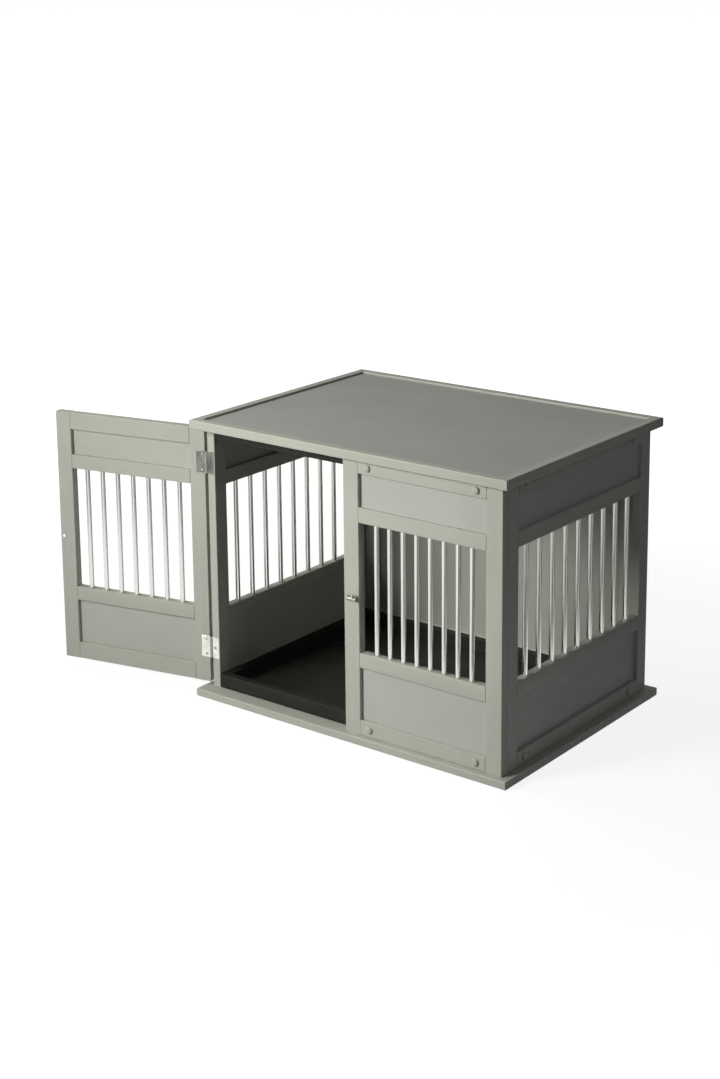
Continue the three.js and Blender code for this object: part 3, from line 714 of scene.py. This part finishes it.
def slide_bolt():
    """The sliding rod with its chamfered nose and domed end, and the knob: a stem that points outwards
    and up, with a ball (r cos t, stem + r sin t) turned on its end."""
    low, high = upright_box("latch_plate")
    start = np.array([low[0] + ROD_INSET, high[1] - ROD_BEHIND, (low[2] + high[2]) / 2])
    length = high[0] - low[0] - 2 * ROD_INSET
    nose = [(0, 0), (ROD_RADIUS - ROD_CHAMFER, 0), (ROD_RADIUS, ROD_CHAMFER)]
    round_end = dome_profile(ROD_RADIUS, length - ROD_END_DOME, length)[2:]  # without its foot
    rod = revolved(np.concatenate([nose, round_end]), start, (1, 0, 0), SMALL_ROUND_STEPS)

    foot = start.copy()
    foot[0] = high[0] - KNOB_FROM_PLATE_END
    outwards = (0, -math.cos(KNOB_TILT), math.sin(KNOB_TILT))
    neck = math.asin(STEM_RADIUS / KNOB_RADIUS)
    t = np.linspace(neck - math.pi / 2, math.pi / 2, BALL_STEPS)
    ball = np.stack([KNOB_RADIUS * np.cos(t), STEM_LENGTH + KNOB_RADIUS * np.sin(t)], axis=-1)
    ball[-1, 0] = 0  # closes the pole exactly
    knob = revolved(np.concatenate([[[0, 0], [STEM_RADIUS, 0]], ball]), foot, outwards, SMALL_ROUND_STEPS)
    # The rod and the knob get darker steel, painted shade for their dim reflections.
    make_piece("slide_bolt_rod", [rod], SHADED_ROUGH_STEEL, "latch", ["latch_bolt"])
    make_piece("slide_bolt_knob", [knob], SHADED_STEEL, "latch", ["latch_bolt"])


def keeper_screw_end():
    """The domed end of the screw that holds the keeper, on the door's inner face."""
    inner_face = upright_box("door_free_stile")[1][1]
    hinge_edge = upright_box("door_hinge_stile")[0][0]
    keeper_height = sum(corner[2] for corner in upright_box("latch_keeper")) / 2
    point = (hinge_edge + KEEPER_SCREW_FROM_HINGE_EDGE, inner_face, keeper_height)
    profile = dome_profile(KEEPER_SCREW_RADIUS, KEEPER_SCREW_WALL, KEEPER_SCREW_HEIGHT)
    end = revolved(profile, point, (0, 1, 0), SMALL_ROUND_STEPS)
    make_piece("keeper_screw_end", [end], SATIN_NICKEL, "door", sharp_above=SHARP_ABOVE_ON_DOMES)


# --------------------------------------------------------------------- camera and studio

IMAGE_HEIGHT = 1079  # pixels of the photograph's frame
SENSOR = 36.0  # millimetres
FOCAL_PIXELS = 1906.6
HORIZON_SHIFT_PIXELS = -183.5  # the lens axis lies this far above the frame's middle
CAMERA_AZIMUTH = 37.83  # degrees, as the two below
CAMERA_ELEVATION = 12.33
CAMERA_ROLL = -0.57
CAMERA_DISTANCE = 3880.5 * MM
CAMERA_TARGET = np.array([-164.2, 0, 694.8]) * MM
CAMERA_SEES_TO = 100.0


def place_camera():
    """A camera on a line back from its target, turned level and then rolled about that line."""
    azimuth, elevation, roll = (math.radians(a) for a in (CAMERA_AZIMUTH, CAMERA_ELEVATION, CAMERA_ROLL))
    back = np.array([math.sin(azimuth) * math.cos(elevation),
                     -math.cos(azimuth) * math.cos(elevation), math.sin(elevation)])
    level = np.array([math.cos(azimuth), math.sin(azimuth), 0])
    upright = np.cross(back, level)
    right = math.cos(roll) * level + math.sin(roll) * upright
    up = np.cross(back, right)
    turn = Matrix(np.stack([right, up, back], axis=-1).tolist())
    lens = bpy.data.cameras.new("camera")
    lens.sensor_width = SENSOR
    lens.lens = FOCAL_PIXELS * SENSOR / IMAGE_HEIGHT
    lens.shift_y = HORIZON_SHIFT_PIXELS / IMAGE_HEIGHT
    lens.clip_end = CAMERA_SEES_TO
    camera = bpy.data.objects.new("camera", lens)
    bpy.context.scene.collection.objects.link(camera)
    camera.matrix_world = Matrix.Translation(Vector(CAMERA_TARGET + back * CAMERA_DISTANCE)) @ turn.to_4x4()
    bpy.context.scene.camera = camera


WARM, COOL, WHITE = (1.0, 0.99, 0.94), (0.95, 0.965, 1.0), (1.0, 1.0, 1.0)
# The lamps: place, aim, size, spread in degrees, power and colour.
LAMPS = {
    "gridded soft box in front": ((-0.95, -2.20, 1.30), (0.08, -0.25, 0.46), 0.8, 84, 13.4, WARM),
    "soft box over the left": ((-2.80, -0.30, 2.50), (0.00, 0.00, 0.58), 1.5, 180, 56.0, WARM),
    "soft box on the right": ((2.40, -0.60, 1.90), (0.36, 0.00, 0.30), 1.0, 180, 4.8, COOL),
    "low soft box behind": ((0.00, 2.40, 0.42), (0.00, 0.28, 0.30), 0.8, 180, 7.5, COOL),
}
SURROUND_LIGHT = (0.032, 0.033, 0.036)
SURROUND_SHEEN = 0.30  # how bright the room looks in the paint and the metal
FLOOR_SIZE = 60.0
FLOOR_PAINT = (0.8, 0.8, 0.8)
FLOOR_BOUNCE = (0.36, 0.36, 0.38)
FLOOR_GLOW = 1.20
FLOOR_SHADOW_SHARE = 0.28
SHADOW_FADES = (0.6, 2.6)  # the shadow's share falls away between these distances from the middle
# What the object's gloss sees of the floor is a painted reflection: a glowing sheet that brightens to the
# front and left, and close by.
SHEET_SLOPE = (-0.6, -1.0, 0)
SHEET_RAMP = (0.30, 1.20)  # how far along the slope the glow grows
SHEET_GLOW = (0.14, 1.0)
SHEET_NEAR = (0.76, 1.00)  # distances from the middle between which the glow close by ends
# To the right of the crate it has a bright lobe, a painted highlight, and out in front a dim spot, painted
# shade in that reflection.
LOBE_WAY = (1.0, 0.0, 0)
LOBE_WIDTH = (0.95, 0.99)  # cosines off that way
LOBE_GLOW = 0.50
DIM_SPOT = (-1.33, -1.90, 0)
DIM_SPOT_REACH = (0.58, 0.78)
DIM_SPOT_SHARE = 0.05


def soft_boxes():
    """Four square lamps: the main one in front, one over the left for the table top, and weak ones for
    the right side and the back."""
    for name, (place, aim, size, spread, power, colour) in LAMPS.items():
        lamp = bpy.data.lights.new(name, "AREA")
        lamp.shape = "SQUARE"
        lamp.size = size
        lamp.spread = math.radians(spread)
        lamp.energy = power
        lamp.color = colour
        box = bpy.data.objects.new(name, lamp)
        bpy.context.scene.collection.objects.link(box)
        box.location = place
        box.rotation_mode = "QUATERNION"
        box.rotation_quaternion = (Vector(aim) - Vector(place)).to_track_quat("-Z", "Y")


def chained(tree, operation, first, second):
    """The result of a two-input maths node on two sockets."""
    made = tree.nodes.new("ShaderNodeMath")
    made.operation = operation
    tree.links.new(first, made.inputs[0])
    tree.links.new(second, made.inputs[1])
    return made.outputs["Value"]


def ramp(tree, value, span, to_span):
    """A value carried from one span to another in a smooth S, and held at its ends."""
    made = tree.nodes.new("ShaderNodeMapRange")
    made.interpolation_type = "SMOOTHSTEP"
    for socket, number in zip(("From Min", "From Max", "To Min", "To Max"), (*span, *to_span)):
        made.inputs[socket].default_value = number
    tree.links.new(value, made.inputs["Value"])
    return made.outputs["Result"]


def shader_mix(tree, share, first, second):
    """The first shader where the share is 0, the second where it is 1."""
    mixed = tree.nodes.new("ShaderNodeMixShader")
    tree.links.new(share, mixed.inputs["Fac"])
    tree.links.new(first, mixed.inputs[1])
    tree.links.new(second, mixed.inputs[2])
    return mixed.outputs["Shader"]


def glowing(tree, kind, colour, strength):
    """A light-giving shader, whose strength is a socket or a number."""
    made = tree.nodes.new(kind)
    made.inputs["Color"].default_value = (*colour, 1)
    if isinstance(strength, bpy.types.NodeSocket):
        tree.links.new(strength, made.inputs["Strength"])
    else:
        made.inputs["Strength"].default_value = strength
    return made.outputs[0]


def seen_directly(tree, path):
    """1 on rays from the camera or through glass, and 0 on the others."""
    return chained(tree, "MAXIMUM", path.outputs["Is Camera Ray"], path.outputs["Is Transmission Ray"])


def pale_surround():
    """A world that looks white, grey in the object's gloss, and gives it a dim even light."""
    world = bpy.data.worlds.new("pale studio")
    bpy.context.scene.world = world
    world.use_nodes = True
    tree = world.node_tree
    tree.nodes.clear()
    path = tree.nodes.new("ShaderNodeLightPath")
    fill = glowing(tree, "ShaderNodeBackground", SURROUND_LIGHT, 1.0)
    sheen = glowing(tree, "ShaderNodeBackground", WHITE, SURROUND_SHEEN)
    white = glowing(tree, "ShaderNodeBackground", WHITE, 1.0)
    lit = shader_mix(tree, path.outputs["Is Glossy Ray"], fill, sheen)
    output = tree.nodes.new("ShaderNodeOutputWorld")
    tree.links.new(shader_mix(tree, seen_directly(tree, path), lit, white), output.inputs["Surface"])


def diffuse(tree, colour):
    """A dull shader of one colour."""
    made = tree.nodes.new("ShaderNodeBsdfDiffuse")
    made.inputs["Color"].default_value = (*colour, 1)
    return made.outputs["BSDF"]


def vector_value(tree, operation, vector, other):
    """The number that a two-input vector node gives for a vector and a fixed one."""
    made = tree.nodes.new("ShaderNodeVectorMath")
    made.operation = operation
    tree.links.new(vector, made.inputs[0])
    made.inputs[1].default_value = other
    return made.outputs["Value"]


def painted_reflection_of_floor(tree, place, reach):
    """The floor as the gloss sees it, a painted reflection: a glow that is the brightest of its slope, its
    near part and its lobe, times the dim spot's share."""
    slope = ramp(tree, vector_value(tree, "DOT_PRODUCT", place, SHEET_SLOPE), SHEET_RAMP, SHEET_GLOW)
    near = ramp(tree, reach, SHEET_NEAR, (SHEET_GLOW[1], 0.0))
    off_lobe = chained(tree, "DIVIDE", vector_value(tree, "DOT_PRODUCT", place, LOBE_WAY), reach)
    lobe = ramp(tree, off_lobe, LOBE_WIDTH, (0.0, LOBE_GLOW))
    glow = chained(tree, "MAXIMUM", chained(tree, "MAXIMUM", slope, near), lobe)
    from_spot = vector_value(tree, "DISTANCE", place, DIM_SPOT)
    spot = ramp(tree, from_spot, DIM_SPOT_REACH, (DIM_SPOT_SHARE, 1.0))
    return glowing(tree, "ShaderNodeEmission", WHITE, chained(tree, "MULTIPLY", glow, spot))


def pale_floor():
    """A floor that looks white where it is lit and keeps a faint shadow near the object, and shows the
    object's gloss a painted reflection.
    """
    half = FLOOR_SIZE / 2
    corners = [(-half, -half, 0), (half, -half, 0), (half, half, 0), (-half, half, 0)]
    mesh = bpy.data.meshes.new("floor")
    mesh.from_pydata(corners, [], [(0, 1, 2, 3)])
    material = bpy.data.materials.new("pale floor")
    material.use_nodes = True
    tree = material.node_tree
    tree.nodes.clear()
    path = tree.nodes.new("ShaderNodeLightPath")
    place = tree.nodes.new("ShaderNodeTexCoord").outputs["Object"]
    reach = vector_value(tree, "DISTANCE", place, (0, 0, 0))

    shadow = ramp(tree, reach, SHADOW_FADES, (FLOOR_SHADOW_SHARE, 0.0))
    white = glowing(tree, "ShaderNodeEmission", WHITE, FLOOR_GLOW)
    looks = shader_mix(tree, shadow, white, diffuse(tree, FLOOR_PAINT))
    sheet = painted_reflection_of_floor(tree, place, reach)
    lit = shader_mix(tree, path.outputs["Is Glossy Ray"], diffuse(tree, FLOOR_BOUNCE), sheet)
    output = tree.nodes.new("ShaderNodeOutputMaterial")
    tree.links.new(shader_mix(tree, seen_directly(tree, path), lit, looks), output.inputs["Surface"])
    mesh.materials.append(material)
    floor = bpy.data.objects.new("floor", mesh)
    bpy.context.scene.collection.objects.link(floor)


# ----------------------------------------------------------------------- putting it up

finish_cad_nodes()

barred_rail("front", "front_lower_bar_rail_with_bars", FRONT_BARS, FRONT_BAR_PITCH)
barred_rail("right_side", "right_side_lower_bar_rail_with_bars", SIDE_BARS, SIDE_BAR_PITCH)
barred_rail("left_side", "left_side_lower_bar_rail_with_bars", SIDE_BARS, SIDE_BAR_PITCH)
barred_rail("door", "door_lower_bar_rail_with_bars", DOOR_BARS, DOOR_BAR_PITCH)

side_insets = (BOLT_INSET, SIDE_BOLT_REAR_INSET)
panel_bolts("front", "front_centre_stile", "front_right_stile", (BOLT_INSET, BOLT_INSET), 0, (0, -1, 0))
panel_bolts("right_side", "right_side_front_stile", "right_side_rear_stile", side_insets, 1, (1, 0, 0))
panel_bolts("left_side", "left_side_front_stile", "left_side_rear_stile", side_insets, 1, (-1, 0, 0))
panel_bolts("back", "back_left_stile", "back_right_stile", (BOLT_INSET, BOLT_INSET), 0, (0, 1, 0))

hinge("upper")
hinge("lower")
slide_bolt()
keeper_screw_end()

place_camera()
soft_boxes()
pale_surround()
pale_floor()

bpy.context.scene.view_settings.view_transform = "Standard"
